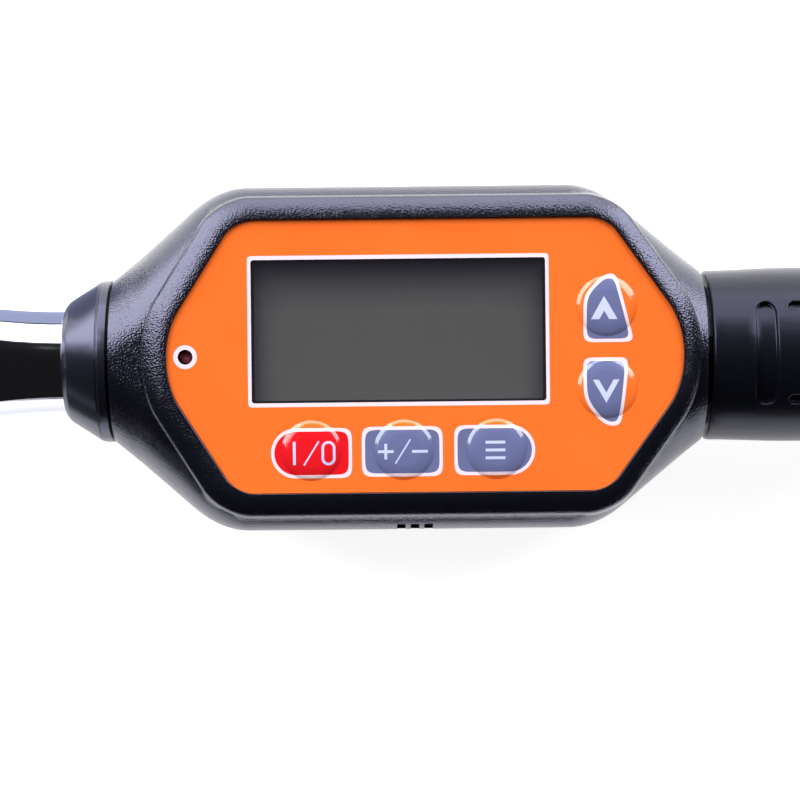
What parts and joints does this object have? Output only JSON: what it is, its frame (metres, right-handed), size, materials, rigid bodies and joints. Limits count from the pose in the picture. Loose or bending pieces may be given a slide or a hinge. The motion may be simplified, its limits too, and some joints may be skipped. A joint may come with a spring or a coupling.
{
  "type": "digital torque wrench",
  "caption": "Ratchet torque wrench with a square drive, a hexagonal display housing with membrane keys and a battery door in its back, and a moulded grip.",
  "frame": {"origin": "middle of the wrench's bounding box, at the height of the square drive's end", "axes": "+X along the wrench from the head to the grip, +Z out of the display"},
  "size_m": [0.3844, 0.0608, 0.0407],
  "materials": {
    "textured_black": "spark eroded texture",
    "smooth_black": "semi gloss",
    "grip_black": "semi gloss",
    "seal_rubber": "matte",
    "orange_film": "satin film",
    "smoked_window": "clear hard coat",
    "lcd_glass": "glossy",
    "board_green": "solder mask",
    "lamp_red": "glossy lens",
    "red_key": "satin film",
    "grey_key": "satin film",
    "nickel": "nickel plated",
    "cell_can": "sleeved",
    "gauge_foil": "polyimide film",
    "steel": "machined",
    "chrome": "polished"
  },
  "bodies": {
    "wrench": {"front_cover": "textured_black", "rear_cover": "textured_black", "battery_door": "textured_black", "neck_collar": "smooth_black", "neck_seal": "seal_rubber", "grip": "grip_black", "end_cap": "grip_black", "buzzer": "smooth_black", "membrane_overlay": "orange_film", "display_window": "smoked_window", "lcd_module": "lcd_glass", "circuit_board": "board_green", "status_lamp": "lamp_red", "switch_power": "nickel", "switch_unit": "nickel", "switch_mode": "nickel", "switch_up": "nickel", "switch_down": "nickel", "battery_1": "cell_can", "battery_2": "cell_can", "battery_spring_1": "nickel", "battery_spring_2": "nickel", "contact_plate_front_1": "nickel", "contact_plate_front_2": "nickel", "contact_plate_rear_1": "nickel", "contact_plate_rear_2": "nickel", "battery_door_screw": "steel", "case_screw_1": "steel", "case_screw_2": "steel", "case_screw_3": "steel", "case_screw_4": "steel", "plate_screw_1": "steel", "plate_screw_2": "steel", "plate_screw_3": "steel", "ratchet_head": "chrome", "head_cover_plate": "chrome", "strain_gauge_left": "gauge_foil", "strain_gauge_right": "gauge_foil", "pawl_pin": "steel", "handle_tube": "steel", "pin_front": "steel", "pin_rear": "steel"},
    "drive": {"drive_gear": "steel", "detent_spring": "steel"},
    "ball": {"detent_ball": "steel"},
    "pawl_body": {"pawl": "steel"},
    "lever": {"reversing_lever": "steel", "plunger_spring": "steel"},
    "plunger_body": {"plunger": "steel"},
    "power_key": {"key_power": "red_key"},
    "unit_key": {"key_unit": "grey_key"},
    "mode_key": {"key_mode": "grey_key"},
    "up_key": {"key_up": "grey_key"},
    "down_key": {"key_down": "grey_key"}
  },
  "joints": [
    {"name": "drive_spin", "type": "hinge", "parent": "wrench", "child": "drive", "pos_m": [-0.1737, 0, 0.0225], "axis": [0, 0, 1], "continuous": true},
    {"name": "ball_press", "type": "slide", "parent": "drive", "child": "ball", "axis": [1, 0, 0], "range_m": [0, 0.0008], "stiffness_N_per_m": 800, "springref_m": -0.0006},
    {"name": "lever_turn", "type": "hinge", "parent": "wrench", "child": "lever", "pos_m": [-0.1497, 0, 0.0225], "axis": [0, 0, 1], "range_deg": [0, 60]},
    {"name": "plunger_press", "type": "slide", "parent": "lever", "child": "plunger_body", "axis": [0.866, -0.5, 0], "range_m": [0, 0.0005], "stiffness_N_per_m": 500, "springref_m": -0.0006},
    {"name": "pawl_rock", "type": "hinge", "parent": "wrench", "child": "pawl_body", "pos_m": [-0.1581, 0, 0.0225], "axis": [0, 0, 1], "range_deg": [-12, 0]},
    {"name": "power_press", "type": "slide", "parent": "wrench", "child": "power_key", "axis": [0, 0, -1], "range_m": [0, 0.0004], "stiffness_N_per_m": 600, "springref_m": -0.0005},
    {"name": "unit_press", "type": "slide", "parent": "wrench", "child": "unit_key", "axis": [0, 0, -1], "range_m": [0, 0.0004], "stiffness_N_per_m": 600, "springref_m": -0.0005},
    {"name": "mode_press", "type": "slide", "parent": "wrench", "child": "mode_key", "axis": [0, 0, -1], "range_m": [0, 0.0004], "stiffness_N_per_m": 600, "springref_m": -0.0005},
    {"name": "up_press", "type": "slide", "parent": "wrench", "child": "up_key", "axis": [0, 0, -1], "range_m": [0, 0.0004], "stiffness_N_per_m": 600, "springref_m": -0.0005},
    {"name": "down_press", "type": "slide", "parent": "wrench", "child": "down_key", "axis": [0, 0, -1], "range_m": [0, 0.0004], "stiffness_N_per_m": 600, "springref_m": -0.0005}
  ],
  "couplings": [
    {"joint": "pawl_rock", "follows": "lever_turn", "ratio": -0.2}
  ]
}
